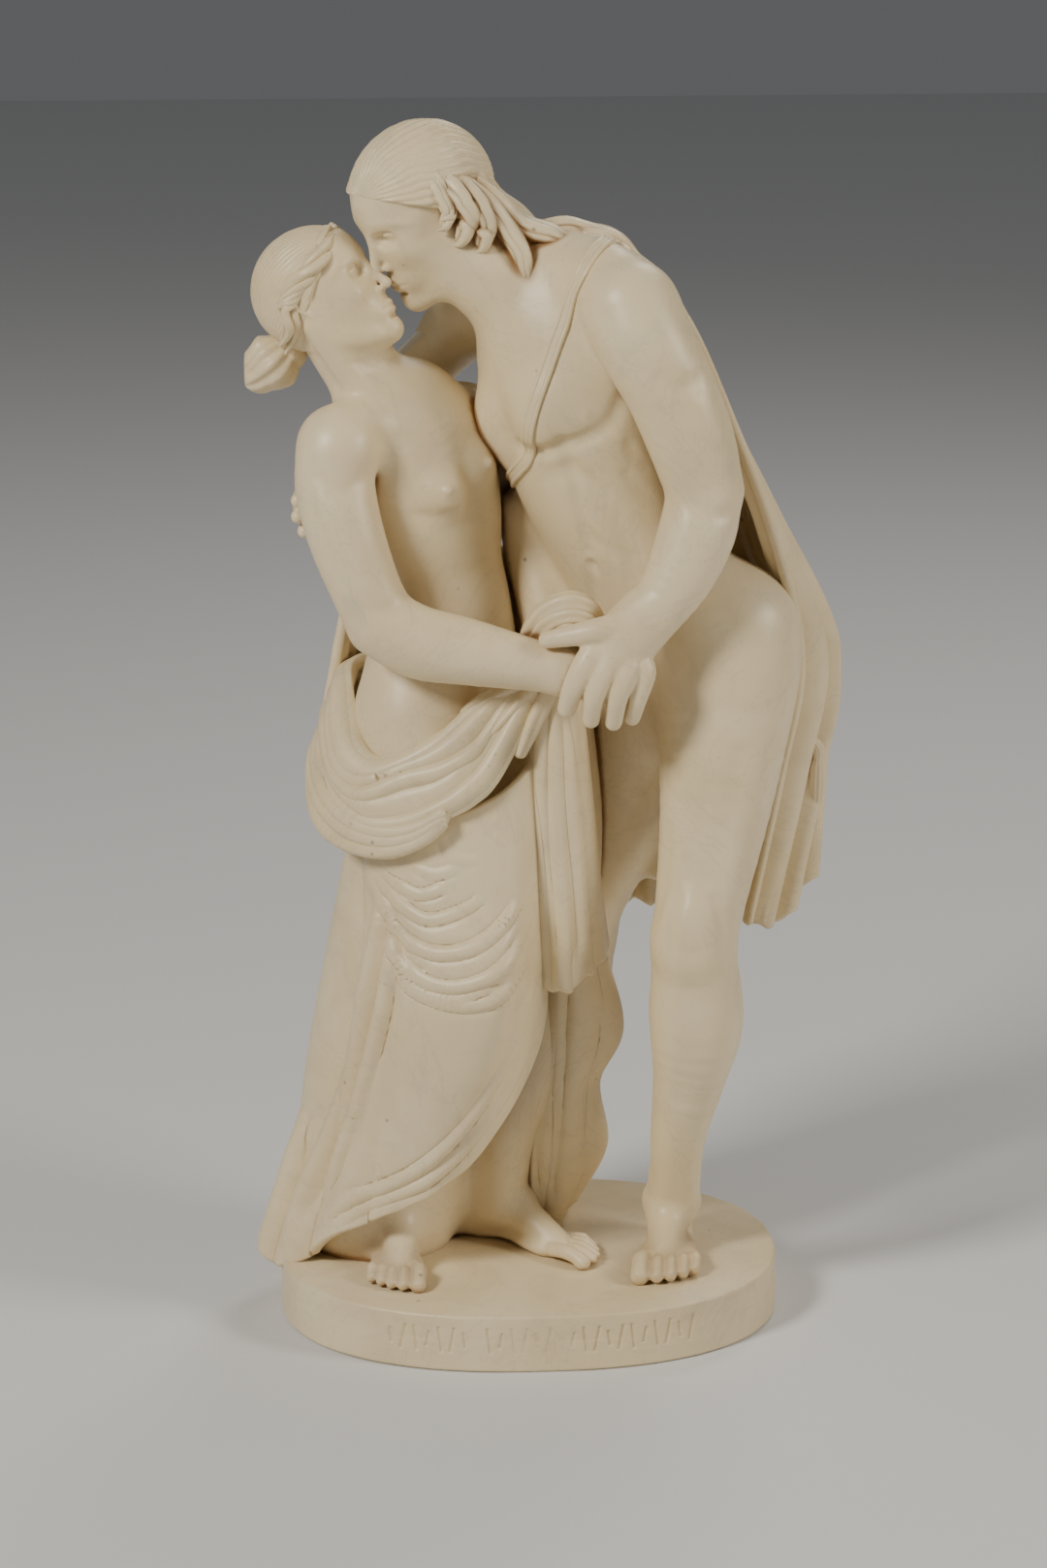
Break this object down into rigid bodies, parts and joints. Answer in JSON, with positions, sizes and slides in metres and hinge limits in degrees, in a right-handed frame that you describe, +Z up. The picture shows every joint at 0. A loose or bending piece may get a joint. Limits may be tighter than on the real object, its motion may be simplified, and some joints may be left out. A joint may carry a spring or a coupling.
{
  "type": "marble statue group",
  "caption": "Carved marble statuette group of a draped figure and a cloaked figure embracing, on its own low rounded plinth; stands on its flat underside.",
  "frame": {"origin": "middle of the plinth's flat underside", "axes": "+Z up; the plinth's long side lies along X, and the strokes are on its -Y face, which is the front"},
  "size_m": [0.3818, 0.268, 0.7792],
  "materials": {
    "marble": "aged white marble with a satin polish, warm yellow-brown patina in the hollows, faint grey veins and small dark specks"
  },
  "bodies": {
    "root": {"marble_group": "marble"}
  },
  "joints": []
}
